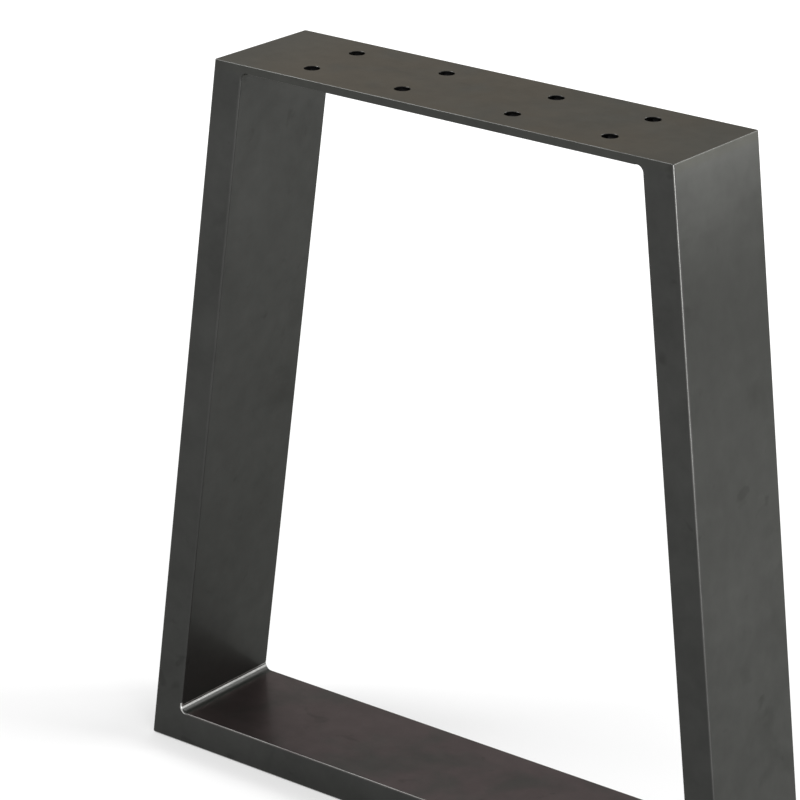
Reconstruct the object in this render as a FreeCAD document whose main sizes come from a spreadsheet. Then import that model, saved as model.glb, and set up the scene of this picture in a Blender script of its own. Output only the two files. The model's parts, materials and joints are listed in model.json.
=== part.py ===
import FreeCAD, Part
import math
import os

import Sketcher

# A welded trapezoid leg for a bench or a low table.
# Two leaning uprights and a foot rail of flat rectangular tube carry a drilled flat bar.
# The joints are mitred or butted, welded in the inside corners and ground flush.
# X runs along the width, Y through the depth, Z up. The origin is on the floor, below the middle.

SIZES = [
    ("frame_height", 430, "floor to the top face"),
    ("top_width", 307, "width over the outside faces, at the top face"),
    ("foot_width", 411, "width over the outside faces, at the floor"),
    ("frame_depth", 80, "wide side of the tube and of the flat bar"),
    ("plate_thickness", 5, "flat bar on top"),
    ("tube_thickness", 20, "narrow side of the tube"),
    ("tube_wall", 2, "wall of the tube"),
    ("bore_radius", 0.6, "corner radius inside the tube"),
    ("edge_radius", 1.2, "rounding of the tube's long edges and of the corners on the floor"),
    ("bar_edge_radius", 0.5, "rounding of the flat bar's top face and of its lower long edges"),
    ("weld_radius", 4, "hollow face of a weld in an inside corner"),
    ("weld_toe", 1, "flat strip from the hollow face to the edge of a weld"),
    ("weld_depth", 0.8, "how deep a weld bites into the pieces that it joins"),
    ("hole_diameter", 9, "screw holes in the flat bar"),
    ("hole_break", 0.3, "chamfer at both rims of a screw hole"),
    ("outer_hole_x", 100, "middle of the bar to an outer screw hole"),
    ("inner_hole_x", 37, "middle of the bar to an inner screw hole"),
    ("hole_row_y", 20, "middle of the bar to a row of screw holes"),
]

# Expressions that several features share.
LEAN = "atan((sizes.foot_width - sizes.top_width) / (2 * sizes.frame_height))"
SEAT_HEIGHT = "(sizes.frame_height - sizes.plate_thickness)"
INNER_FOOT_X = f"(sizes.foot_width / 2 - sizes.tube_thickness / cos({LEAN}))"
RAIL_CORNER_X = f"({INNER_FOOT_X} - sizes.tube_thickness * tan({LEAN}))"
SEAT_CORNER_X = f"({INNER_FOOT_X} - {SEAT_HEIGHT} * tan({LEAN}))"

RIGHT = 1
LEFT = -1
H_AXIS = -1
V_AXIS = -2
START = 1
END = 2
CENTRE = 3
X_DIRECTION = FreeCAD.Vector(1, 0, 0)
Y_DIRECTION = FreeCAD.Vector(0, 1, 0)
Z_DIRECTION = FreeCAD.Vector(0, 0, 1)
ON_PLANE = 1e-6

doc = FreeCAD.newDocument("trapezoid_leg")
sheet = doc.addObject("Spreadsheet::Sheet", "sizes")
for row, (alias, size, meaning) in enumerate(SIZES, start=1):
    sheet.set(f"A{row}", str(size))
    sheet.setAlias(f"A{row}", alias)
    sheet.set(f"B{row}", meaning)
doc.recompute()


def size_of(alias):
    return float(sheet.get(alias))


def lean_angle():
    run = (size_of("foot_width") - size_of("top_width")) / 2
    return math.atan(run / size_of("frame_height"))


def face_x(height, inset=0.0):
    """Distance from the middle to an upright's outside face, or to a line inset from it."""
    lean = lean_angle()
    return size_of("foot_width") / 2 - inset / math.cos(lean) - height * math.tan(lean)


def named(sketch, kind, name, expression, *geometry):
    """A dimension of the sketch that follows an expression. It starts at the drawn size."""
    index = sketch.addConstraint(Sketcher.Constraint(kind, *geometry))
    sketch.renameConstraint(index, name)
    sketch.setExpression(f"Constraints.{name}", expression)


def bind(item, **expressions):
    for name, expression in expressions.items():
        item.setExpression(name, expression)


def closed_outline(sketch, points):
    """Straight lines round the points, joined end to end."""
    count = len(points)
    lines = []
    for i in range(count):
        start = FreeCAD.Vector(*points[i], 0)
        end = FreeCAD.Vector(*points[(i + 1) % count], 0)
        lines.append(sketch.addGeometry(Part.LineSegment(start, end), False))
    for i in range(count):
        sketch.addConstraint(
            Sketcher.Constraint("Coincident", lines[i], END, lines[(i + 1) % count], START)
        )
    return lines


def body_sketch(body, name, role):
    """A sketch on one of the body's own origin planes."""
    sketch = body.newObject("Sketcher::SketchObject", name)
    plane = [f for f in body.Origin.OriginFeatures if f.Role == role][0]
    sketch.AttachmentSupport = [(plane, "")]
    sketch.MapMode = "FlatFace"
    return sketch


def edges_where(shape, test):
    return [f"Edge{i}" for i, edge in enumerate(shape.Edges, start=1) if test(edge)]


def extruded(name, sketch, length, symmetric):
    solid = doc.addObject("Part::Extrusion", name)
    solid.Base = sketch
    solid.DirMode = "Normal"
    solid.Solid = True
    solid.Symmetric = symmetric
    bind(solid, LengthFwd=length)
    return solid


def common(name, first, second):
    result = doc.addObject("Part::Common", name)
    result.Base = first
    result.Tool = second
    return result


def cut_away(name, base, tools):
    """Base without the tools, one cut after another. The last cut has the name."""
    for i, tool in enumerate(tools, start=1):
        result = doc.addObject("Part::Cut", name if i == len(tools) else f"{name}_cut_{i}")
        result.Base = base
        result.Tool = tool
        base = result
    return base


# The outside of the finished frame, as the grinder leaves it

def outer_outline(sketch):
    half_foot = size_of("foot_width") / 2
    half_top = size_of("top_width") / 2
    height = size_of("frame_height")
    foot, right, top, left = closed_outline(
        sketch, [(-half_foot, 0), (half_foot, 0), (half_top, height), (-half_top, height)]
    )
    sketch.addConstraint(Sketcher.Constraint("PointOnObject", foot, START, H_AXIS))
    sketch.addConstraint(Sketcher.Constraint("Symmetric", foot, START, foot, END, V_AXIS))
    sketch.addConstraint(Sketcher.Constraint("Symmetric", top, START, top, END, V_AXIS))
    named(sketch, "DistanceX", "foot_width", "sizes.foot_width", foot, START, foot, END, 2 * half_foot)
    named(sketch, "DistanceX", "top_width", "sizes.top_width", top, END, top, START, 2 * half_top)
    named(sketch, "DistanceY", "frame_height", "sizes.frame_height", H_AXIS, START, top, START, height)
    return right, left


def inner_outline(sketch, right, left):
    """The opening: four lines and four arcs, drawn anticlockwise from the foot rail."""
    lean = lean_angle()
    radius = size_of("weld_radius")
    tube = size_of("tube_thickness")
    floor_z = tube + radius
    roof_z = size_of("frame_height") - size_of("plate_thickness") - radius
    centres = [
        (face_x(floor_z, tube + radius), floor_z),
        (face_x(roof_z, tube + radius), roof_z),
        (-face_x(roof_z, tube + radius), roof_z),
        (-face_x(floor_z, tube + radius), floor_z),
    ]
    turns = [-math.pi / 2, lean, math.pi / 2, math.pi - lean, math.pi * 3 / 2]
    arcs = []
    for i, centre in enumerate(centres):
        circle = Part.Circle(FreeCAD.Vector(*centre, 0), Z_DIRECTION, radius)
        arcs.append(sketch.addGeometry(Part.ArcOfCircle(circle, turns[i], turns[i + 1]), False))
    lines = []
    for i in range(len(arcs)):
        start = sketch.getPoint(arcs[i - 1], END)
        end = sketch.getPoint(arcs[i], START)
        lines.append(sketch.addGeometry(Part.LineSegment(start, end), False))
        sketch.addConstraint(Sketcher.Constraint("Tangent", arcs[i - 1], END, lines[i], START))
        sketch.addConstraint(Sketcher.Constraint("Tangent", lines[i], END, arcs[i], START))
    rail_line, right_line, seat_line, left_line = lines
    sketch.addConstraint(Sketcher.Constraint("Horizontal", rail_line))
    sketch.addConstraint(Sketcher.Constraint("Horizontal", seat_line))
    sketch.addConstraint(Sketcher.Constraint("Parallel", right_line, right))
    sketch.addConstraint(Sketcher.Constraint("Parallel", left_line, left))
    for arc in arcs[1:]:
        sketch.addConstraint(Sketcher.Constraint("Equal", arcs[0], arc))
    named(sketch, "Radius", "weld_radius", "sizes.weld_radius", arcs[0], radius)
    named(sketch, "DistanceY", "rail_top", "sizes.tube_thickness", H_AXIS, START, rail_line, START, tube)
    named(sketch, "DistanceY", "seat", SEAT_HEIGHT, H_AXIS, START, seat_line, START, roof_z + radius)
    named(sketch, "Distance", "right_tube", "sizes.tube_thickness", right_line, START, right, tube)
    named(sketch, "Distance", "left_tube", "sizes.tube_thickness", left_line, START, left, tube)


def round_edges(body, name, base, edges, radius):
    rounding = body.newObject("PartDesign::Fillet", name)
    rounding.Base = (base, edges)
    bind(rounding, Radius=f"sizes.{radius}")
    body.Tip = rounding
    doc.recompute()
    return rounding


def make_ground_frame(name, opening_radius):
    """One solid with the true outside of the welded frame. Every piece is cut out of one."""
    body = doc.addObject("PartDesign::Body", name)
    outline = body_sketch(body, name + "_outline", "XZ_Plane")
    right, left = outer_outline(outline)
    inner_outline(outline, right, left)
    pad = body.newObject("PartDesign::Pad", name + "_pad")
    pad.Profile = outline
    pad.Midplane = True
    bind(pad, Length="sizes.frame_depth")
    doc.recompute()

    height = size_of("frame_height")
    tube = size_of("tube_thickness")
    half_depth = size_of("frame_depth") / 2

    def middle(edge):
        return edge.valueAt((edge.FirstParameter + edge.LastParameter) / 2)

    def on_front_or_back(edge):
        points = [vertex.Point for vertex in edge.Vertexes] + [middle(edge)]
        return all(abs(abs(point.y) - half_depth) < ON_PLANE for point in points)

    def round_the_opening(edge):
        x, _, z = middle(edge)
        beside = abs(x) < face_x(z, tube) + ON_PLANE
        return on_front_or_back(edge) and beside and tube / 2 < z < height - ON_PLANE

    def at_the_top(edge):
        points = [vertex.Point for vertex in edge.Vertexes] + [middle(edge)]
        return all(abs(point.z - height) < ON_PLANE for point in points)

    def at_the_tube(edge):
        across_foot = abs(middle(edge).z) < ON_PLANE and abs(middle(edge).y) < ON_PLANE
        along_tube = on_front_or_back(edge) and not round_the_opening(edge)
        return across_foot or (along_tube and not at_the_top(edge))

    tube_edges = round_edges(
        body, name + "_tube_edges", pad, edges_where(pad.Shape, at_the_tube), "edge_radius"
    )
    opening_edges = round_edges(
        body, name + "_opening_edges", tube_edges,
        edges_where(tube_edges.Shape, round_the_opening), opening_radius,
    )
    round_edges(
        body, name + "_top_edges", opening_edges,
        edges_where(opening_edges.Shape, at_the_top), "bar_edge_radius",
    )
    return body


# Welds in the inside corners

def make_weld_zone(name, side, at_seat):
    """The space that one weld fills: its strip of the corner and its bite into both pieces.

    The sketch has its origin in the corner. Its X runs along the bar or the rail towards the
    middle, and its Y into the opening.
    """
    lean = lean_angle()
    corner = math.pi / 2 + lean if at_seat else math.pi / 2 - lean
    corner_angle = f"90 deg + {LEAN}" if at_seat else f"90 deg - {LEAN}"
    reach = size_of("weld_radius") / math.tan(corner / 2) + size_of("weld_toe")
    depth = size_of("weld_depth")
    root_x = -depth * (1 + math.cos(corner)) / math.sin(corner)
    along = (math.cos(corner), math.sin(corner))
    toe_x = along[0] * reach
    toe_y = along[1] * reach

    sketch = doc.addObject("Sketcher::SketchObject", name + "_outline")
    bar_bite, bar_toe, open_side, tube_toe, tube_bite = closed_outline(
        sketch,
        [
            (root_x, -depth),
            (reach, -depth),
            (reach, 0),
            (toe_x, toe_y),
            (toe_x - along[1] * depth, toe_y + along[0] * depth),
        ],
    )
    tube_face = sketch.addGeometry(
        Part.LineSegment(FreeCAD.Vector(0, 0, 0), FreeCAD.Vector(toe_x, toe_y, 0)), True
    )
    sketch.addConstraint(Sketcher.Constraint("Coincident", tube_face, START, H_AXIS, START))
    sketch.addConstraint(Sketcher.Constraint("Coincident", tube_face, END, open_side, END))
    sketch.addConstraint(Sketcher.Constraint("PointOnObject", bar_toe, END, H_AXIS))
    sketch.addConstraint(Sketcher.Constraint("Horizontal", bar_bite))
    sketch.addConstraint(Sketcher.Constraint("Vertical", bar_toe))
    sketch.addConstraint(Sketcher.Constraint("Parallel", tube_bite, tube_face))
    sketch.addConstraint(Sketcher.Constraint("Perpendicular", tube_toe, tube_face))
    reach_expression = f"sizes.weld_radius / tan(({corner_angle}) / 2) + sizes.weld_toe"
    named(sketch, "Angle", "corner_angle", corner_angle, tube_face, corner)
    named(sketch, "Distance", "tube_reach", reach_expression, tube_face, reach)
    named(sketch, "DistanceX", "bar_reach", reach_expression, H_AXIS, START, bar_toe, END, reach)
    named(sketch, "Distance", "bar_depth", "sizes.weld_depth", bar_toe, depth)
    named(sketch, "Distance", "tube_depth", "sizes.weld_depth", tube_toe, depth)

    upright = FreeCAD.Rotation(X_DIRECTION, 90)
    turned = FreeCAD.Rotation(Y_DIRECTION if at_seat else Z_DIRECTION, 180)
    facing = FreeCAD.Rotation(Z_DIRECTION, 0 if side == RIGHT else 180)
    sketch.Placement = FreeCAD.Placement(FreeCAD.Vector(0, 0, 0), facing * turned * upright)
    corner_x = SEAT_CORNER_X if at_seat else RAIL_CORNER_X
    bind(
        sketch,
        **{
            "Placement.Base.x": f"{side} * {corner_x}",
            "Placement.Base.z": SEAT_HEIGHT if at_seat else "sizes.tube_thickness",
        },
    )
    return extruded(name + "_zone", sketch, "sizes.frame_depth", True)


# The drilled flat bar on top

def make_flat_bar():
    body = doc.addObject("PartDesign::Body", "flat_bar")
    outline = body_sketch(body, "bar_outline", "XZ_Plane")
    height = size_of("frame_height")
    seat = height - size_of("plate_thickness")
    half_seat = face_x(seat)
    half_top = face_x(height)
    lower, right, upper, left = closed_outline(
        outline, [(-half_seat, seat), (half_seat, seat), (half_top, height), (-half_top, height)]
    )
    outline.addConstraint(Sketcher.Constraint("Symmetric", lower, START, lower, END, V_AXIS))
    outline.addConstraint(Sketcher.Constraint("Symmetric", upper, START, upper, END, V_AXIS))
    named(outline, "DistanceX", "top_width", "sizes.top_width", upper, END, upper, START, 2 * half_top)
    named(outline, "DistanceY", "seat", SEAT_HEIGHT, H_AXIS, START, lower, START, seat)
    named(outline, "DistanceY", "frame_height", "sizes.frame_height", H_AXIS, START, upper, START, height)
    named(outline, "Angle", "lean", f"90 deg + {LEAN}", right, math.pi / 2 + lean_angle())
    pad = body.newObject("PartDesign::Pad", "bar_pad")
    pad.Profile = outline
    pad.Midplane = True
    bind(pad, Length="sizes.frame_depth")

    right_half = body_sketch(body, "right_half_holes", "XY_Plane")
    radius = size_of("hole_diameter") / 2
    row = size_of("hole_row_y")
    holes = []
    for where in ("outer_hole_x", "inner_hole_x"):
        pair = [
            right_half.addGeometry(
                Part.Circle(FreeCAD.Vector(size_of(where), y, 0), Z_DIRECTION, radius), False
            )
            for y in (-row, row)
        ]
        right_half.addConstraint(
            Sketcher.Constraint("Symmetric", pair[0], CENTRE, pair[1], CENTRE, H_AXIS)
        )
        named(
            right_half, "DistanceX", where, f"sizes.{where}",
            H_AXIS, START, pair[0], CENTRE, size_of(where),
        )
        named(
            right_half, "DistanceY", where + "_row", "2 * sizes.hole_row_y",
            pair[0], CENTRE, pair[1], CENTRE, 2 * row,
        )
        holes += pair
    for hole in holes[1:]:
        right_half.addConstraint(Sketcher.Constraint("Equal", holes[0], hole))
    named(right_half, "Diameter", "hole_diameter", "sizes.hole_diameter", holes[0], 2 * radius)
    drilled = body.newObject("PartDesign::Pocket", "drilled_half")
    drilled.Profile = right_half
    drilled.Type = "ThroughAll"
    drilled.Midplane = True
    doc.recompute()

    mirrored = body.newObject("PartDesign::Mirrored", "drilled_both_halves")
    mirrored.Originals = [drilled]
    middle = [f for f in body.Origin.OriginFeatures if f.Role == "YZ_Plane"][0]
    mirrored.MirrorPlane = (middle, [""])
    body.Tip = mirrored
    doc.recompute()

    rims = body.newObject("PartDesign::Chamfer", "hole_rims")
    rims.Base = (
        mirrored,
        edges_where(mirrored.Shape, lambda edge: isinstance(edge.Curve, Part.Circle)),
    )
    bind(rims, Size="sizes.hole_break")
    body.Tip = rims
    return body


# Tubes

def rounded_rectangle(sketch, width, depth, radius):
    """A rectangle centred on the sketch's origin. Each size is (expression, drawn size)."""
    half_width = width[1] / 2
    half_depth = depth[1] / 2
    inner_width = half_width - radius[1]
    inner_depth = half_depth - radius[1]
    quarter = math.pi / 2
    corners = [
        (inner_width, -inner_depth, 3 * quarter),
        (inner_width, inner_depth, 0),
        (-inner_width, inner_depth, quarter),
        (-inner_width, -inner_depth, 2 * quarter),
    ]
    arcs = []
    for x, y, turn in corners:
        circle = Part.Circle(FreeCAD.Vector(x, y, 0), Z_DIRECTION, radius[1])
        arcs.append(sketch.addGeometry(Part.ArcOfCircle(circle, turn, turn + quarter), False))
    sides = []
    for i in range(len(arcs)):
        start = sketch.getPoint(arcs[i - 1], END)
        end = sketch.getPoint(arcs[i], START)
        sides.append(sketch.addGeometry(Part.LineSegment(start, end), False))
        sketch.addConstraint(Sketcher.Constraint("Tangent", arcs[i - 1], END, sides[i], START))
        sketch.addConstraint(Sketcher.Constraint("Tangent", sides[i], END, arcs[i], START))
    lower, right, upper, left = sides
    for side in (lower, upper):
        sketch.addConstraint(Sketcher.Constraint("Horizontal", side))
    for side in (right, left):
        sketch.addConstraint(Sketcher.Constraint("Vertical", side))
    for arc in arcs[1:]:
        sketch.addConstraint(Sketcher.Constraint("Equal", arcs[0], arc))
    sketch.addConstraint(
        Sketcher.Constraint("Symmetric", arcs[0], CENTRE, arcs[2], CENTRE, H_AXIS, START)
    )
    named(sketch, "Radius", "radius", radius[0], arcs[0], radius[1])
    named(sketch, "DistanceX", "width", width[0], left, START, right, START, width[1])
    named(sketch, "DistanceY", "depth", depth[0], lower, START, upper, START, depth[1])


def make_bore(name, length):
    """The hollow of a tube, along its sketch's normal, from the sketch's plane."""
    wall = 2 * size_of("tube_wall")
    sketch = doc.addObject("Sketcher::SketchObject", name + "_section")
    rounded_rectangle(
        sketch,
        ("sizes.tube_thickness - 2 * sizes.tube_wall", size_of("tube_thickness") - wall),
        ("sizes.frame_depth - 2 * sizes.tube_wall", size_of("frame_depth") - wall),
        ("sizes.bore_radius", size_of("bore_radius")),
    )
    return sketch, extruded(name + "_bore", sketch, length, False)


def make_upright_bore(name, side):
    sketch, bore = make_bore(name, f"sizes.frame_height / cos({LEAN})")
    sketch.Placement = FreeCAD.Placement(
        FreeCAD.Vector(0, 0, 0), FreeCAD.Rotation(FreeCAD.Vector(0, -side, 0), 1)
    )
    half_tube = "sizes.tube_thickness / 2"
    bind(
        sketch,
        **{
            "Placement.Base.x": f"{side} * (sizes.foot_width / 2 - {half_tube} * cos({LEAN}))",
            "Placement.Base.z": f"-{half_tube} * sin({LEAN})",
            "Placement.Rotation.Angle": LEAN,
        },
    )
    return bore


def make_rail_bore():
    sketch, bore = make_bore("rail", "sizes.foot_width")
    sketch.Placement = FreeCAD.Placement(
        FreeCAD.Vector(0, 0, 0), FreeCAD.Rotation(Y_DIRECTION, 90)
    )
    bind(
        sketch,
        **{
            "Placement.Base.x": "-sizes.foot_width / 2",
            "Placement.Base.z": "sizes.tube_thickness / 2",
        },
    )
    return bore


def make_upright_blank(name, side):
    """Side view of an upright: mitred at the foot, cut level under the flat bar."""
    tube = size_of("tube_thickness")
    seat = size_of("frame_height") - size_of("plate_thickness")
    sketch = doc.addObject("Sketcher::SketchObject", name + "_outline")
    outside, level, inside, mitre = closed_outline(
        sketch,
        [
            (face_x(0), 0),
            (face_x(seat), seat),
            (face_x(seat, tube), seat),
            (face_x(tube, tube), tube),
        ],
    )
    sketch.addConstraint(Sketcher.Constraint("PointOnObject", outside, START, H_AXIS))
    sketch.addConstraint(Sketcher.Constraint("Horizontal", level))
    sketch.addConstraint(Sketcher.Constraint("Parallel", inside, outside))
    named(
        sketch, "DistanceX", "half_foot", "sizes.foot_width / 2",
        H_AXIS, START, outside, START, face_x(0),
    )
    named(sketch, "DistanceY", "seat", SEAT_HEIGHT, H_AXIS, START, outside, END, seat)
    named(
        sketch, "DistanceY", "mitre", "sizes.tube_thickness", H_AXIS, START, inside, END, tube
    )
    named(sketch, "Distance", "tube", "sizes.tube_thickness", inside, START, outside, tube)
    named(sketch, "Angle", "lean", f"90 deg + {LEAN}", outside, math.pi / 2 + lean_angle())
    facing = FreeCAD.Rotation(Z_DIRECTION, 0 if side == RIGHT else 180)
    sketch.Placement = FreeCAD.Placement(
        FreeCAD.Vector(0, 0, 0), facing * FreeCAD.Rotation(X_DIRECTION, 90)
    )
    return extruded(name + "_blank", sketch, "sizes.frame_depth", True)


def make_rail_blank():
    """Side view of the foot rail, mitred at both ends."""
    tube = size_of("tube_thickness")
    half_foot = face_x(0)
    half_top = face_x(tube, tube)
    sketch = doc.addObject("Sketcher::SketchObject", "rail_outline")
    lower, right, upper, left = closed_outline(
        sketch, [(-half_foot, 0), (half_foot, 0), (half_top, tube), (-half_top, tube)]
    )
    sketch.addConstraint(Sketcher.Constraint("PointOnObject", lower, START, H_AXIS))
    sketch.addConstraint(Sketcher.Constraint("Symmetric", lower, START, lower, END, V_AXIS))
    sketch.addConstraint(Sketcher.Constraint("Symmetric", upper, START, upper, END, V_AXIS))
    named(
        sketch, "DistanceX", "foot_width", "sizes.foot_width", lower, START, lower, END, 2 * half_foot
    )
    named(
        sketch, "DistanceX", "upper_width", f"2 * {RAIL_CORNER_X}", upper, END, upper, START, 2 * half_top
    )
    named(
        sketch, "DistanceY", "tube", "sizes.tube_thickness", H_AXIS, START, upper, START, tube
    )
    sketch.Placement = FreeCAD.Placement(
        FreeCAD.Vector(0, 0, 0), FreeCAD.Rotation(X_DIRECTION, 90)
    )
    return extruded("rail_blank", sketch, "sizes.frame_depth", True)


# The pieces

def make_pieces():
    frame = make_ground_frame("ground_frame", "edge_radius")
    bar_frame = make_ground_frame("ground_bar_frame", "bar_edge_radius")
    zones = {
        (side, at_seat): make_weld_zone(
            f"{'top' if at_seat else 'foot'}_{'right' if side == RIGHT else 'left'}", side, at_seat
        )
        for side in (LEFT, RIGHT)
        for at_seat in (True, False)
    }
    pieces = {}
    bar = common("ground_bar", make_flat_bar(), bar_frame)
    pieces["top_plate"] = cut_away("top_plate", bar, [zones[LEFT, True], zones[RIGHT, True]])
    for side, name in ((LEFT, "left_upright"), (RIGHT, "right_upright")):
        tube = common(name + "_tube", make_upright_blank(name, side), frame)
        pieces[name] = cut_away(
            name, tube, [make_upright_bore(name, side), zones[side, True], zones[side, False]]
        )
    rail = common("rail_tube", make_rail_blank(), frame)
    pieces["foot_rail"] = cut_away(
        "foot_rail", rail, [make_rail_bore(), zones[LEFT, False], zones[RIGHT, False]]
    )
    for (side, at_seat), zone in zones.items():
        place = f"{'top' if at_seat else 'foot'}_{'left' if side == LEFT else 'right'}"
        pieces[place + "_weld"] = common(place + "_weld", zone, frame)
    for name, piece in pieces.items():
        piece.Label = name
    return pieces


def check_and_export(pieces):
    doc.recompute()
    for item in doc.Objects:
        if "Invalid" in item.State or "Error" in item.State:
            raise RuntimeError(f"{item.Name} failed: {item.State}")
    for name, piece in pieces.items():
        if piece.Shape.isNull() or not piece.Shape.isValid() or not piece.Shape.Solids:
            raise RuntimeError(f"{name} has no valid solid")
    os.makedirs("parts", exist_ok=True)
    for name, piece in pieces.items():
        piece.Shape.exportStep(f"parts/{piece.Label}.step")
        box = piece.Shape.BoundBox
        print(
            f"{name}: {len(piece.Shape.Solids)} solid, {piece.Shape.Volume:.1f} mm3, "
            f"{box.XLength:.2f} x {box.YLength:.2f} x {box.ZLength:.2f}"
        )


check_and_export(make_pieces())
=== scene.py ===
import json
import math

import bpy
from bpy.props import FloatProperty, FloatVectorProperty, PointerProperty
from mathutils import Matrix, Vector


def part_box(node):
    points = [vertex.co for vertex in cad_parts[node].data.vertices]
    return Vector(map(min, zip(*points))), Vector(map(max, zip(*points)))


bl_info = {
    "name": "Trapezoid Leg",
    "version": (1, 0, 0),
    "blender": (4, 5, 0),
    "location": "View3D > Sidebar > Trapezoid Leg",
    "description": "Finish and studio for a welded trapezoid leg of flat steel tube",
    "category": "Object",
}

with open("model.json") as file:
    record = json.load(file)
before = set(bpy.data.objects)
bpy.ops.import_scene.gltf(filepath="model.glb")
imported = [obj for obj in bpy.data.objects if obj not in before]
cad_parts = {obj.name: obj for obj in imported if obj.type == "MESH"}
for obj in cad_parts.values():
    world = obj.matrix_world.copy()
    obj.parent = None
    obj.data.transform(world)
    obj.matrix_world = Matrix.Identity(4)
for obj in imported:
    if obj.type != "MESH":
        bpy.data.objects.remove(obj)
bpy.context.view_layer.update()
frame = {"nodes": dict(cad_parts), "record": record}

FLAT_BAR = ("top_plate",)
UPRIGHTS = ("left_upright", "right_upright")
FOOT_RAIL = ("foot_rail",)
TOP_WELDS = ("top_left_weld", "top_right_weld")
FOOT_WELDS = ("foot_left_weld", "foot_right_weld")
SCREW_HOLES = [
    mount["dims"] for mount in frame["record"]["mounts"] if mount["kind"] == "bolt_pattern"
]
MM = 0.001
HOLE_MARGIN = 0.0002
TOP_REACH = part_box("top_plate")[1][0]
TOP_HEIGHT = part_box("top_plate")[1][2]
FOOT_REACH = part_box("foot_rail")[1][0]
LEAN = math.atan2(FOOT_REACH - TOP_REACH, TOP_HEIGHT)
# Outward normal of the right upright's outer face
SIDE_NORMAL = (math.cos(LEAN), 0.0, math.sin(LEAN))

# Nodes that a later step finds in a steel material by name
CLOUDED = "clouded steel"
DARK_SHARE = "dark share"

# Cloudy tone: the noise between these values gives these shares of the colour
NOISE_FROM, NOISE_MIDDLE, NOISE_TO = 0.3, 0.5, 0.7
TONE_LOW, TONE_HIGH = 0.84, 1.16
ROUGHNESS_SPREAD = 0.03
MOTTLE_SHARE = 0.45
MOTTLE_FINENESS = 6.0
SMUDGE_STRENGTH = 0.30
SPOT_SHAPE = {"Detail": 2.0, "Threshold": 0.66, "Softness": 0.08}
COAT_ROUGHNESS = 0.15
COAT_IOR = 1.5
GRAIN_STRENGTH = 0.12
GRAIN_DEPTH = 0.00004

# Rounded edges: bare rubbed steel and a painted edge highlight from EDGE_FROM to EDGE_TO off a flat
# face, and sooner in a weld's hollow
EDGE_FROM = math.radians(4)
EDGE_TO = math.radians(14)
HOLLOW_TO = math.radians(5)
RUBBED_NOISE = (0.35, 0.6)
LEAST_RUBBED = 0.6
HIGHLIGHT_FADE = 0.18
FAINT_HIGHLIGHT = 0.15
INWARD_FULL = 0.4
# Facing heights over which the painted weld highlight fades towards the level rail
UPPER_HOLLOW = (0.25, 0.55)

# Painted sheen: how bright the outer faces are painted by share of the height, as reflected light,
# kept under GAIN_SPAN
PAINTED_SHEEN_GAIN = (
    (0.0, 1.62), (0.20, 1.36), (0.42, 1.20), (0.58, 0.99), (0.72, 0.89), (0.82, 0.86),
    (0.88, 0.98), (0.93, 1.28), (0.97, 1.52), (1.0, 1.70),
)
GAIN_SPAN = 2.0
STREAK_STRETCH = (1.0, 0.25, 1.0)
STREAK_SCALE = 60.0
STREAK_DRIFT = 0.04
SMUDGE_FREE_HEIGHT = (0.84, 0.94)

# Coloured film on level faces
FILM_PATCHES = {"Size": 0.045, "Threshold": 0.28, "Softness": 0.25}
FILM_FADE = 0.04
FILM_BEYOND = 0.25
BAR_FILM_REACH = 0.145
RAIL_FILM_REACH = 0.22
RAIL_EDGE_SHARE = 0.7
# Height above which the uprights' edges carry the full painted highlight
UPRIGHT_HIGHLIGHT_ABOVE = 0.27
# Above the leg, so a weld's edges keep only a faint painted highlight
ABOVE_THE_LEG = 1.0

# Squeeze of the grain's coordinates, which draws it out along one axis
GRAIN_ALONG_X = (0.08, 1.0, 1.0)
GRAIN_ALONG_Y = (1.0, 0.1, 1.0)
GRAIN_ALONG_Z = (1.0, 1.0, 0.08)

FLOOR_GAP = 0.0002
FLOOR_WHITE = 0.7
SENSOR_WIDTH = 36.0
VIEW_DEPTH = 50.0
LEG_MIDDLE = (0, 0, 0.2)
LEG_SHOULDER = (0, 0, 0.3)
UPRIGHT_TOP = (0.15, 0, 0.35)
UPRIGHT_FRONT_EDGE = (0.17, -0.04, 0.35)


# Settings

def colour_setting(name, description, default):
    return FloatVectorProperty(
        name=name, description=description, subtype="COLOR", size=3, min=0, max=1, default=default
    )


def factor_setting(name, description, default):
    return FloatProperty(
        name=name, description=description, subtype="FACTOR", min=0, max=1, default=default
    )


def length_setting(name, description, default):
    return FloatProperty(
        name=name, description=description, subtype="DISTANCE", unit="LENGTH", default=default
    )


def place_setting(name, description, default):
    return FloatVectorProperty(
        name=name, description=description, subtype="TRANSLATION", unit="LENGTH", size=3,
        default=default,
    )


def angle_setting(name, description, degrees):
    return FloatProperty(
        name=name, description=description, subtype="ANGLE", unit="ROTATION",
        default=math.radians(degrees),
    )


def power_setting(name, description, watts):
    return FloatProperty(name=name, description=description, min=0, default=watts)


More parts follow.
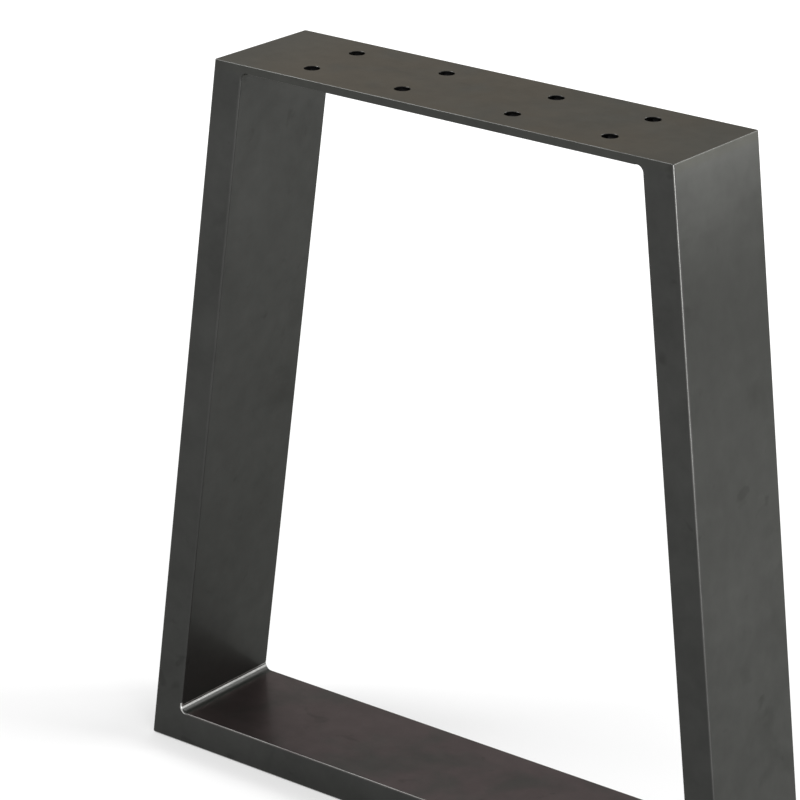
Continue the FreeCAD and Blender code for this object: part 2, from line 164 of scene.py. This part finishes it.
class SteelSettings(bpy.types.PropertyGroup):
    tube_colour: colour_setting("Tube", "Grey of the drawn tube", (0.0383, 0.0388, 0.0370))
    tube_tint: colour_setting("Tube sheen", "Tube's tint at a flat angle", (0.60, 0.605, 0.575))
    bar_colour: colour_setting("Flat bar", "Grey of the ground flat bar", (0.0382, 0.0390, 0.0359))
    bar_tint: colour_setting("Bar sheen", "Flat bar's tint at a flat angle", (0.62, 0.60, 0.555))
    warm_colour: colour_setting("Warm film", "Brown film of the rolled bar", (0.047, 0.040, 0.031))
    rail_film: colour_setting("Rail film", "Red-brown film on the rail", (0.060, 0.0455, 0.0470))
    smudge_colour: colour_setting("Smudge", "Scale left below the lacquer", (0.014, 0.014, 0.013))
    # Edge colour: bare rubbed steel, and with the edge mask a painted edge highlight
    edge_colour: colour_setting("Edge", "Bare steel along rubbed edges", (0.082, 0.082, 0.079))
    # Ground weld colour: bare steel, and with the weld mask a painted highlight high in the hollow
    weld_colour: colour_setting("Ground weld", "Bare steel of a ground weld", (0.460, 0.460, 0.450))
    # Painted shade on the walls of the screw holes
    hole_shade_colour: colour_setting("Drilled hole", "Dull wall of a hole", (0.010, 0.010, 0.010))
    cloud_size: length_setting("Cloud size", "Size of the soft cloudy tone", 0.070)
    smudge_size: length_setting("Smudge size", "Spacing of the larger smudges", 0.055)
    spot_size: length_setting("Spot size", "Spacing of the small dark spots", 0.015)
    roughness: factor_setting("Roughness", "Mean roughness of the steel", 0.42)
    edge_roughness: factor_setting("Edge roughness", "Roughness of a rubbed edge", 0.30)
    weld_roughness: factor_setting("Weld roughness", "Roughness of a ground weld", 0.26)
    lacquer: factor_setting("Lacquer", "Weight of the clear coat", 0.10)


class StageSettings(bpy.types.PropertyGroup):
    floor_size: length_setting("Floor", "Side of the square floor", 12.0)
    floor_colour: colour_setting("Floor colour", "Matt white floor", (0.66, 0.66, 0.66))
    floor_lift: factor_setting("Floor lift", "White that the eye and reflections see added", 0.29)
    floor_white_from: length_setting("White from", "Distance where the floor starts to pale", 0.45)
    floor_white_to: length_setting("White to", "Distance from which the floor is all white", 1.40)
    room_light: factor_setting("Room light", "Light of the white room on the leg", 0.60)
    camera_place: place_setting("Camera", "Place of the camera", (1.15748, -1.57315, 0.99586))
    camera_azimuth: angle_setting("Azimuth", "Turn of the camera about Z", 37.533)
    camera_elevation: angle_setting("Elevation", "Camera's height angle", 20.855)
    camera_roll: angle_setting("Roll", "Tilt of the camera's horizon", 0.755)
    camera_lens: FloatProperty(name="Lens", description="Focal length in mm", default=168.705)
    side_power: power_setting("Side", "Power of the softbox behind the right upright", 18.0)
    rear_power: power_setting("Rear", "Power of the long low softbox behind", 8.0)
    rear_high_power: power_setting("Rear high", "Power of the high softbox behind", 6.0)
    high_left_power: power_setting("High left", "Power of the high softbox on the left", 17.5)
    low_right_power: power_setting("Low right", "Power of the low softbox on the right", 18.0)


# Shader helpers

def feed(tree, node, values):
    """Fills a node's inputs. Each value is a socket to link from, or what the input holds."""
    for name, value in values.items():
        socket = node.inputs[name]
        if isinstance(value, bpy.types.NodeSocket):
            tree.links.new(value, socket)
        else:
            socket.default_value = value


def add_node(tree, kind, values=None, **settings):
    """A new node, with its settings set and its inputs fed."""
    node = tree.nodes.new(kind)
    for name, value in settings.items():
        setattr(node, name, value)
    feed(tree, node, values or {})
    return node


def new_group(name, inputs, outputs):
    """An empty node group, the sockets that it is given, and the node that takes its results.

    Each input is (name, kind, default).
    """
    group = bpy.data.node_groups.new(name, "ShaderNodeTree")
    for socket_name, kind, default in inputs:
        socket = group.interface.new_socket(socket_name, in_out="INPUT", socket_type=kind)
        socket.default_value = default
    for socket_name, kind in outputs:
        group.interface.new_socket(socket_name, in_out="OUTPUT", socket_type=kind)
    given = group.nodes.new("NodeGroupInput").outputs
    return group, given, group.nodes.new("NodeGroupOutput")


def add_group(tree, name, values):
    """The outputs of a shared group that is placed with its own values."""
    group = bpy.data.node_groups[name]
    return add_node(tree, "ShaderNodeGroup", values, node_tree=group).outputs


def math_node(tree, operation, *values, clamp=False):
    """The result of a Math node on sockets or numbers."""
    values = dict(enumerate(values))
    return add_node(
        tree, "ShaderNodeMath", values, operation=operation, use_clamp=clamp
    ).outputs[0]


def vector_node(tree, operation, *values):
    """The outputs of a Vector Math node: Vector, or Value where the result is a number."""
    values = dict(enumerate(values))
    return add_node(tree, "ShaderNodeVectorMath", values, operation=operation).outputs


def separate(tree, vector):
    """The X, Y and Z of a vector."""
    return add_node(tree, "ShaderNodeSeparateXYZ", {0: vector}).outputs


def noise(tree, place, scale, detail, roughness, distortion=0.0):
    """Soft noise between 0 and 1 at a place."""
    values = {
        "Vector": place, "Scale": scale, "Detail": detail, "Roughness": roughness,
        "Distortion": distortion,
    }
    return add_node(tree, "ShaderNodeTexNoise", values).outputs[0]


def ramp(tree, value, start, end, low=0.0, high=1.0):
    """Low to high while value goes from start to end."""
    values = {
        "Value": value, "From Min": start, "From Max": end, "To Min": low, "To Max": high,
    }
    return add_node(tree, "ShaderNodeMapRange", values).outputs[0]


def value_mix(tree, factor, first, second):
    """A number from first to second by factor."""
    values = {0: factor, 2: first, 3: second}
    return add_node(tree, "ShaderNodeMix", values, data_type="FLOAT").outputs[0]


def colour_mix(tree, factor, first, second):
    """A colour from first to second by factor, each a socket or red, green and blue."""
    values = {0: factor}
    for place, colour in ((6, first), (7, second)):
        plain = not isinstance(colour, bpy.types.NodeSocket)
        values[place] = (*colour, 1) if plain else colour
    return add_node(tree, "ShaderNodeMix", values, data_type="RGBA").outputs[2]


# Shared effects

def build_cloud_group():
    """Soft cloudy tone of rolled steel, with finer mottling in it."""
    group, given, result = new_group(
        "Steel cloud",
        (
            ("Vector", "NodeSocketVector", (0, 0, 0)),
            ("Size", "NodeSocketFloat", 0.07),
            ("Mottle share", "NodeSocketFloat", 0.3),
        ),
        (("Value", "NodeSocketFloat"),),
    )
    scale = math_node(group, "DIVIDE", 1.0, given["Size"])
    fine_scale = math_node(group, "MULTIPLY", scale, MOTTLE_FINENESS)
    clouds = noise(group, given["Vector"], scale, detail=3.0, roughness=0.5)
    mottle = noise(group, given["Vector"], fine_scale, detail=4.0, roughness=0.6)
    value = value_mix(group, given["Mottle share"], clouds, mottle)
    feed(group, result, {"Value": value})


def build_smudge_group():
    """Soft dark smudges or spots, far apart and of uneven size."""
    group, given, result = new_group(
        "Steel smudges",
        (
            ("Vector", "NodeSocketVector", (0, 0, 0)),
            ("Size", "NodeSocketFloat", 0.05),
            ("Detail", "NodeSocketFloat", 5.0),
            ("Threshold", "NodeSocketFloat", 0.60),
            ("Softness", "NodeSocketFloat", 0.12),
        ),
        (("Mask", "NodeSocketFloat"),),
    )
    scale = math_node(group, "DIVIDE", 1.0, given["Size"])
    height = noise(
        group, given["Vector"], scale, given["Detail"], roughness=0.55, distortion=0.4
    )
    above = math_node(group, "SUBTRACT", height, given["Threshold"])
    mask = math_node(group, "DIVIDE", above, given["Softness"], clamp=True)
    feed(group, result, {"Mask": mask})


def build_edge_group():
    """1 where the surface turns from one flat face of the frame to the next: unevenly rubbed bare
    steel and a painted edge highlight, which fades below a height and on inward faces.
    """
    group, given, result = new_group(
        "Rounded edges",
        (
            ("Vector", "NodeSocketVector", (0, 0, 0)),
            ("Normal", "NodeSocketVector", (0, 0, 1)),
            ("Rub size", "NodeSocketFloat", 0.03),
            ("Highlight above", "NodeSocketFloat", -1.0),
            ("Turned cosine", "NodeSocketFloat", math.cos(EDGE_TO)),
            ("Inner share", "NodeSocketFloat", 0.15),
            ("Level share", "NodeSocketFloat", 1.0),
        ),
        (("Mask", "NodeSocketFloat"),),
    )
    place = separate(group, given["Vector"])
    facing = separate(group, given["Normal"])
    folded = vector_node(group, "ABSOLUTE", given["Normal"])["Vector"]
    folded_axes = separate(group, folded)
    side = vector_node(group, "DOT_PRODUCT", folded, SIDE_NORMAL)["Value"]
    flat = math_node(group, "MAXIMUM", folded_axes["Y"], folded_axes["Z"])
    flat = math_node(group, "MAXIMUM", flat, side)
    turned = ramp(group, flat, math.cos(EDGE_FROM), given["Turned cosine"])

    rub_scale = math_node(group, "DIVIDE", 1.0, given["Rub size"])
    rub = noise(group, given["Vector"], rub_scale, detail=4.0, roughness=0.6)
    rubbed = ramp(group, rub, *RUBBED_NOISE, low=LEAST_RUBBED)
    above = math_node(group, "SUBTRACT", place["Z"], given["Highlight above"])
    # Painted edge highlight fades out below a height
    reached = ramp(group, above, -HIGHLIGHT_FADE, 0.0, low=FAINT_HIGHLIGHT)
    inward = math_node(group, "SIGN", math_node(group, "MULTIPLY", place["X"], -1.0))
    inward = math_node(group, "MULTIPLY", facing["X"], inward, clamp=True)
    # Painted edge highlight is weaker on edges of inward faces
    inward_share = ramp(group, inward, 0.0, INWARD_FULL, 1.0, given["Inner share"])
    # Painted weld highlight only on the upper part of a weld's hollow
    level = ramp(group, facing["Z"], *UPPER_HOLLOW, 1.0, given["Level share"])
    mask = turned
    for share in (rubbed, reached, inward_share, level):
        mask = math_node(group, "MULTIPLY", mask, share)
    feed(group, result, {"Mask": mask})


def build_grain_group():
    """Fine lines that the rolls or the grinder leave along one direction, and small pits."""
    group, given, result = new_group(
        "Steel grain",
        (
            ("Vector", "NodeSocketVector", (0, 0, 0)),
            ("Lines", "NodeSocketFloat", 900.0),
            ("Pits", "NodeSocketFloat", 1400.0),
        ),
        (("Height", "NodeSocketFloat"),),
    )
    lines = noise(group, given["Vector"], given["Lines"], detail=2.0, roughness=0.5)
    pits = noise(group, given["Vector"], given["Pits"], detail=2.0, roughness=0.6)
    feed(group, result, {"Height": math_node(group, "ADD", lines, pits)})


def build_hole_group():
    """1 inside the drilled holes of one pattern, which stand at +-Half spacing in X and Y."""
    group, given, result = new_group(
        "Drilled holes",
        (
            ("Vector", "NodeSocketVector", (0, 0, 0)),
            ("Half spacing", "NodeSocketVector", (0.1, 0.02, 0)),
            ("Radius", "NodeSocketFloat", 0.0045),
        ),
        (("Mask", "NodeSocketFloat"),),
    )
    flat = vector_node(group, "MULTIPLY", given["Vector"], (1, 1, 0))["Vector"]
    folded = vector_node(group, "ABSOLUTE", flat)["Vector"]
    reach = vector_node(group, "DISTANCE", folded, given["Half spacing"])["Value"]
    inside = math_node(group, "LESS_THAN", reach, given["Radius"])
    feed(group, result, {"Mask": inside})


# Steel

def lacquered_steel(
    name, settings, colour, tint, grain_stretch, edge_share=1.0, highlight_above=-1.0, ground=False
):
    """Dark steel below a thin clear coat. grain_stretch squeezes the grain's coordinates.

    Edges are rubbed bare and carry a painted highlight above a height. A ground weld is bare and
    carries a painted highlight in its hollow too, from the upright down to where it turns level.
    """
    bare = settings.weld_colour if ground else settings.edge_colour
    bare_roughness = settings.weld_roughness if ground else settings.edge_roughness
    material = bpy.data.materials.new(name)
    material.use_nodes = True
    tree = material.node_tree
    coordinates = add_node(tree, "ShaderNodeTexCoord").outputs
    place, normal = coordinates["Object"], coordinates["Normal"]

    cloud = add_group(
        tree, "Steel cloud",
        {"Vector": place, "Size": settings.cloud_size, "Mottle share": MOTTLE_SHARE},
    )["Value"]
    smudges = add_group(
        tree, "Steel smudges", {"Vector": place, "Size": settings.smudge_size}
    )["Mask"]
    spots = add_group(
        tree, "Steel smudges", {"Vector": place, "Size": settings.spot_size, **SPOT_SHAPE}
    )["Mask"]
    edge_values = {"Vector": place, "Normal": normal, "Highlight above": highlight_above}
    # A ground weld: painted highlight over its hollow's upper part, next to the upright
    if ground:
        edge_values["Turned cosine"] = math.cos(HOLLOW_TO)
        edge_values["Inner share"] = 1.0
        edge_values["Level share"] = 0.0
    edges = add_group(tree, "Rounded edges", edge_values)["Mask"]

    tone = ramp(tree, cloud, NOISE_FROM, NOISE_TO, TONE_LOW, TONE_HIGH)
    clouded = add_node(
        tree, "ShaderNodeVectorMath", {0: tuple(colour), "Scale": tone}, operation="SCALE"
    )
    clouded.name = CLOUDED
    dark = math_node(tree, "MAXIMUM", smudges, spots)
    dark_share = math_node(tree, "MULTIPLY", dark, SMUDGE_STRENGTH)
    dark_share.node.name = DARK_SHARE
    smudged = colour_mix(tree, dark_share, clouded.outputs[0], settings.smudge_colour)
    bare_share = math_node(tree, "MULTIPLY", edges, edge_share)

    roughness = ramp(
        tree, cloud, NOISE_FROM, NOISE_TO,
        settings.roughness + ROUGHNESS_SPREAD, settings.roughness - ROUGHNESS_SPREAD,
    )
    along = add_node(tree, "ShaderNodeMapping", {"Vector": place, "Scale": grain_stretch})
    grain = add_group(tree, "Steel grain", {"Vector": along.outputs[0]})["Height"]
    bump = add_node(
        tree, "ShaderNodeBump",
        {"Strength": GRAIN_STRENGTH, "Distance": GRAIN_DEPTH, "Height": grain},
    )
    feed(tree, tree.nodes["Principled BSDF"], {
        "Base Color": colour_mix(tree, bare_share, smudged, bare),
        "Metallic": 1.0,
        "Roughness": value_mix(tree, edges, roughness, bare_roughness),
        "Normal": bump.outputs["Normal"],
        "Specular Tint": (*tint, 1),
        "Coat Weight": settings.lacquer,
        "Coat Roughness": COAT_ROUGHNESS,
        "Coat IOR": COAT_IOR,
    })
    return material


def lay_film(material, colour, reach):
    """Lays a coloured film on the faces that look up, in patches, out to reach along the frame."""
    tree = material.node_tree
    coordinates = add_node(tree, "ShaderNodeTexCoord").outputs
    facing = separate(tree, coordinates["Normal"])
    place = separate(tree, coordinates["Object"])
    patches = add_group(
        tree, "Steel smudges", {"Vector": coordinates["Object"], **FILM_PATCHES}
    )["Mask"]
    distance = math_node(tree, "ABSOLUTE", place["X"])
    inward = ramp(tree, distance, reach, reach - FILM_FADE, low=FILM_BEYOND)
    looks_up = math_node(tree, "MULTIPLY", facing["Z"], 1.0, clamp=True)
    share = math_node(tree, "MULTIPLY", looks_up, patches)
    share = math_node(tree, "MULTIPLY", share, inward)
    clouded = tree.nodes[CLOUDED]
    steel = tuple(clouded.inputs[0].default_value)
    feed(tree, clouded, {0: colour_mix(tree, share, steel, colour)})


def paint_end_sheen(material):
    """Paints a sheen of reflected light on the outer faces, brighter towards both welds, in
    streaks.

    The top end is kept clear of smudges too.
    """
    tree = material.node_tree
    coordinates = add_node(tree, "ShaderNodeTexCoord").outputs
    place = separate(tree, coordinates["Object"])
    facing = separate(tree, coordinates["Normal"])
    across = add_node(
        tree, "ShaderNodeMapping", {"Vector": coordinates["Object"], "Scale": STREAK_STRETCH}
    )
    streaks = noise(tree, across.outputs[0], STREAK_SCALE, detail=3.0, roughness=0.5)
    outward = math_node(
        tree, "MULTIPLY", facing["X"], math_node(tree, "SIGN", place["X"]), clamp=True
    )
    drift = math_node(tree, "SUBTRACT", streaks, NOISE_MIDDLE)
    drift = math_node(tree, "MULTIPLY", drift, STREAK_DRIFT)
    height = math_node(tree, "ADD", place["Z"], drift)
    height = math_node(tree, "DIVIDE", height, TOP_HEIGHT)

    gain = add_node(tree, "ShaderNodeFloatCurve", {"Value": height})
    points = gain.mapping.curves[0].points
    for share, value in PAINTED_SHEEN_GAIN[1:-1]:
        points.new(share, value / GAIN_SPAN)
    for end in (0, -1):
        share, value = PAINTED_SHEEN_GAIN[end]
        points[end].location = (share, value / GAIN_SPAN)
    gain.mapping.update()
    brightness = math_node(tree, "MULTIPLY", gain.outputs[0], GAIN_SPAN)
    brightness = value_mix(tree, outward, 1.0, brightness)
    clouded = tree.nodes[CLOUDED]
    tone = clouded.inputs["Scale"].links[0].from_socket
    feed(tree, clouded, {"Scale": math_node(tree, "MULTIPLY", tone, brightness)})

    # Smudges are left out near the top of the outer faces, under the brightest painted sheen
    smudge_free = math_node(tree, "MULTIPLY", ramp(tree, height, *SMUDGE_FREE_HEIGHT), outward)
    kept = math_node(tree, "SUBTRACT", 1.0, smudge_free)
    kept = math_node(tree, "MULTIPLY", kept, SMUDGE_STRENGTH)
    feed(tree, tree.nodes[DARK_SHARE], {1: kept})


def paint_hole_shade(material, colour):
    """Darkens the steel inside the screw holes with painted shade."""
    tree = material.node_tree
    place = add_node(tree, "ShaderNodeTexCoord").outputs["Object"]
    masks = []
    for pattern in SCREW_HOLES:
        half_x = pattern["spacing_x_mm"] / 2 * MM
        half_y = pattern["spacing_y_mm"] / 2 * MM
        radius = pattern["hole_r_mm"] * MM + HOLE_MARGIN
        holes = add_group(
            tree, "Drilled holes",
            {"Vector": place, "Half spacing": (half_x, half_y, 0), "Radius": radius},
        )
        masks.append(holes["Mask"])
    inside = math_node(tree, "MAXIMUM", *masks)
    shader = tree.nodes["Principled BSDF"]
    steel = shader.inputs["Base Color"].links[0].from_socket
    feed(tree, shader, {"Base Color": colour_mix(tree, inside, steel, colour)})


def finish(nodes, material):
    """Puts a material on every face of the named pieces."""
    for name in nodes:
        for slot in frame["nodes"][name].material_slots:
            slot.material = material


class LEG_OT_steel_effects(bpy.types.Operator):
    """Build the effects that the steels share: clouds, smudges, grain, edges and holes"""

    bl_idname = "leg.steel_effects"
    bl_label = "Build Steel Effects"

    def execute(self, context):
        build_cloud_group()
        build_smudge_group()
        build_grain_group()
        build_edge_group()
        build_hole_group()
        return {"FINISHED"}


class LEG_OT_finish_flat_bar(bpy.types.Operator):
    """Give the drilled flat bar its rolled and lacquered finish, with painted sheen on its ends and
    painted shade in its holes
    """

    bl_idname = "leg.finish_flat_bar"
    bl_label = "Finish Flat Bar"

    def execute(self, context):
        settings = context.scene.leg_steel
        steel = lacquered_steel(
            "rolled_bar", settings, settings.bar_colour, settings.bar_tint, GRAIN_ALONG_X
        )
        lay_film(steel, settings.warm_colour, BAR_FILM_REACH)
        # Painted sheen on the bar's ends, standing in for reflected light
        paint_end_sheen(steel)
        # Painted shade inside the screw holes
        paint_hole_shade(steel, settings.hole_shade_colour)
        finish(FLAT_BAR, steel)
        return {"FINISHED"}


class LEG_OT_finish_tubes(bpy.types.Operator):
    """Give the uprights and the foot rail their drawn and lacquered finish, with painted sheen on
    the uprights and painted edge highlights
    """

    bl_idname = "leg.finish_tubes"
    bl_label = "Finish Tubes"

    def execute(self, context):
        settings = context.scene.leg_steel
        grey, tint = settings.tube_colour, settings.tube_tint
        # The uprights' edges carry the painted highlight only high up
        upright = lacquered_steel(
            "upright_tube", settings, grey, tint, GRAIN_ALONG_Z,
            highlight_above=UPRIGHT_HIGHLIGHT_ABOVE,
        )
        # Painted sheen on the uprights' outer faces, standing in for reflected light
        paint_end_sheen(upright)
        finish(UPRIGHTS, upright)
        rail = lacquered_steel(
            "rail_tube", settings, grey, tint, GRAIN_ALONG_X, edge_share=RAIL_EDGE_SHARE
        )
        lay_film(rail, settings.rail_film, RAIL_FILM_REACH)
        finish(FOOT_RAIL, rail)
        return {"FINISHED"}


class LEG_OT_finish_welds(bpy.types.Operator):
    """Give the top welds the tube's finish and leave the foot welds ground bright, with a painted
    highlight high in their hollow
    """

    bl_idname = "leg.finish_welds"
    bl_label = "Finish Welds"

    def execute(self, context):
        settings = context.scene.leg_steel
        grey, tint = settings.tube_colour, settings.tube_tint
        smooth = lacquered_steel(
            "smooth_weld", settings, grey, tint, GRAIN_ALONG_Y, highlight_above=ABOVE_THE_LEG
        )
        finish(TOP_WELDS, smooth)
        bright = lacquered_steel(
            "bright_weld", settings, grey, tint, GRAIN_ALONG_Y, ground=True
        )
        finish(FOOT_WELDS, bright)
        return {"FINISHED"}


# Stage

def seen_ray(tree):
    """1 for rays of the camera, of reflections and through glass, and 0 for the rest."""
    path = add_node(tree, "ShaderNodeLightPath").outputs
    seen = math_node(tree, "MAXIMUM", path["Is Camera Ray"], path["Is Glossy Ray"])
    return math_node(tree, "MAXIMUM", seen, path["Is Transmission Ray"])


def lay_floor(settings):
    """A matt floor that keeps the leg's shadow near it and pales to white further out."""
    bpy.ops.object.select_all(action="DESELECT")
    bpy.ops.mesh.primitive_plane_add(size=settings.floor_size, location=(0, 0, -FLOOR_GAP))
    floor = bpy.context.object
    floor.name = "studio_floor"
    material = bpy.data.materials.new("studio_floor")
    material.use_nodes = True
    tree = material.node_tree
    place = add_node(tree, "ShaderNodeTexCoord").outputs["Object"]
    reach = vector_node(tree, "LENGTH", place)["Value"]
    paling = ramp(
        tree, reach, settings.floor_white_from, settings.floor_white_to,
        settings.floor_lift, FLOOR_WHITE,
    )
    feed(tree, tree.nodes["Principled BSDF"], {
        "Base Color": (*settings.floor_colour, 1),
        "Roughness": 1.0,
        "Specular IOR Level": 0.0,
        "Emission Color": (1, 1, 1, 1),
        "Emission Strength": math_node(tree, "MULTIPLY", seen_ray(tree), paling),
    })
    floor.data.materials.append(material)


def light_room(settings):
    """A white room, which lights the leg a little less than it shows."""
    world = bpy.data.worlds.new("white_room")
    bpy.context.scene.world = world
    world.use_nodes = True
    tree = world.node_tree
    share = math_node(tree, "MULTIPLY", seen_ray(tree), 1.0 - settings.room_light)
    strength = math_node(tree, "ADD", share, settings.room_light)
    feed(tree, tree.nodes["Background"], {"Color": (1, 1, 1, 1), "Strength": strength})


def hang_softbox(name, place, target, size, power):
    """A rectangular lamp at a place, turned to a target and hidden from the camera."""
    bpy.ops.object.select_all(action="DESELECT")
    bpy.ops.object.light_add(type="AREA", location=place)
    lamp = bpy.context.object
    lamp.name = name
    lamp.data.shape = "RECTANGLE"
    lamp.data.size, lamp.data.size_y = size
    lamp.data.energy = power
    lamp.visible_camera = False
    towards = Vector(target) - Vector(place)
    lamp.rotation_euler = towards.to_track_quat("-Z", "Y").to_euler()


def set_camera(settings):
    """The camera that sees the leg from the front, right and above."""
    bpy.ops.object.select_all(action="DESELECT")
    bpy.ops.object.camera_add(location=settings.camera_place)
    camera = bpy.context.object
    camera.name = "photo_camera"
    camera.data.sensor_width = SENSOR_WIDTH
    camera.data.lens = settings.camera_lens
    camera.data.clip_end = VIEW_DEPTH
    turn = (
        Matrix.Rotation(settings.camera_azimuth, 4, "Z")
        @ Matrix.Rotation(math.pi / 2 - settings.camera_elevation, 4, "X")
        @ Matrix.Rotation(settings.camera_roll, 4, "Z")
    )
    camera.matrix_world = Matrix.Translation(settings.camera_place) @ turn
    bpy.context.scene.camera = camera


class LEG_OT_stage(bpy.types.Operator):
    """Lay the white floor, hang the softboxes and set up the camera"""

    bl_idname = "leg.stage"
    bl_label = "Set Up Stage"

    def execute(self, context):
        settings = context.scene.leg_stage
        lay_floor(settings)
        light_room(settings)
        softboxes = (
            ("side", (1.3, 0.9, 0.9), UPRIGHT_TOP, (0.8, 0.8), settings.side_power),
            ("rear", (1.2, 2.2, 0.5), LEG_MIDDLE, (2.4, 1.0), settings.rear_power),
            ("rear_high", (0.65, 1.4, 1.5), LEG_SHOULDER, (0.7, 0.7), settings.rear_high_power),
            ("high_left", (-1.15, -0.75, 1.7), LEG_MIDDLE, (0.8, 0.8), settings.high_left_power),
            (
                "low_right", (1.5, -1.15, 0.25), UPRIGHT_FRONT_EDGE, (0.6, 0.4),
                settings.low_right_power,
            ),
        )
        for name, place, target, size, power in softboxes:
            hang_softbox(f"{name}_softbox", place, target, size, power)
        set_camera(settings)
        context.scene.view_settings.view_transform = "Standard"
        return {"FINISHED"}


OPERATORS = (
    LEG_OT_steel_effects,
    LEG_OT_finish_flat_bar,
    LEG_OT_finish_tubes,
    LEG_OT_finish_welds,
    LEG_OT_stage,
)


class LEG_PT_sidebar(bpy.types.Panel):
    """Every step of the leg, in order, with its settings"""

    bl_idname = "LEG_PT_sidebar"
    bl_label = "Trapezoid Leg"
    bl_space_type = "VIEW_3D"
    bl_region_type = "UI"
    bl_category = "Trapezoid Leg"

    def draw(self, context):
        layout = self.layout
        for operator in OPERATORS:
            layout.operator(operator.bl_idname)
        for settings in (context.scene.leg_steel, context.scene.leg_stage):
            box = layout.box()
            for name in settings.__annotations__:
                box.prop(settings, name)


CLASSES = (SteelSettings, StageSettings, *OPERATORS, LEG_PT_sidebar)


def register():
    for item in CLASSES:
        bpy.utils.register_class(item)
    bpy.types.Scene.leg_steel = PointerProperty(type=SteelSettings)
    bpy.types.Scene.leg_stage = PointerProperty(type=StageSettings)


def unregister():
    del bpy.types.Scene.leg_stage
    del bpy.types.Scene.leg_steel
    for item in reversed(CLASSES):
        bpy.utils.unregister_class(item)


def main():
    register()
    bpy.ops.leg.steel_effects()
    bpy.ops.leg.finish_flat_bar()
    bpy.ops.leg.finish_tubes()
    bpy.ops.leg.finish_welds()
    bpy.ops.leg.stage()


if __name__ == "__main__":
    main()
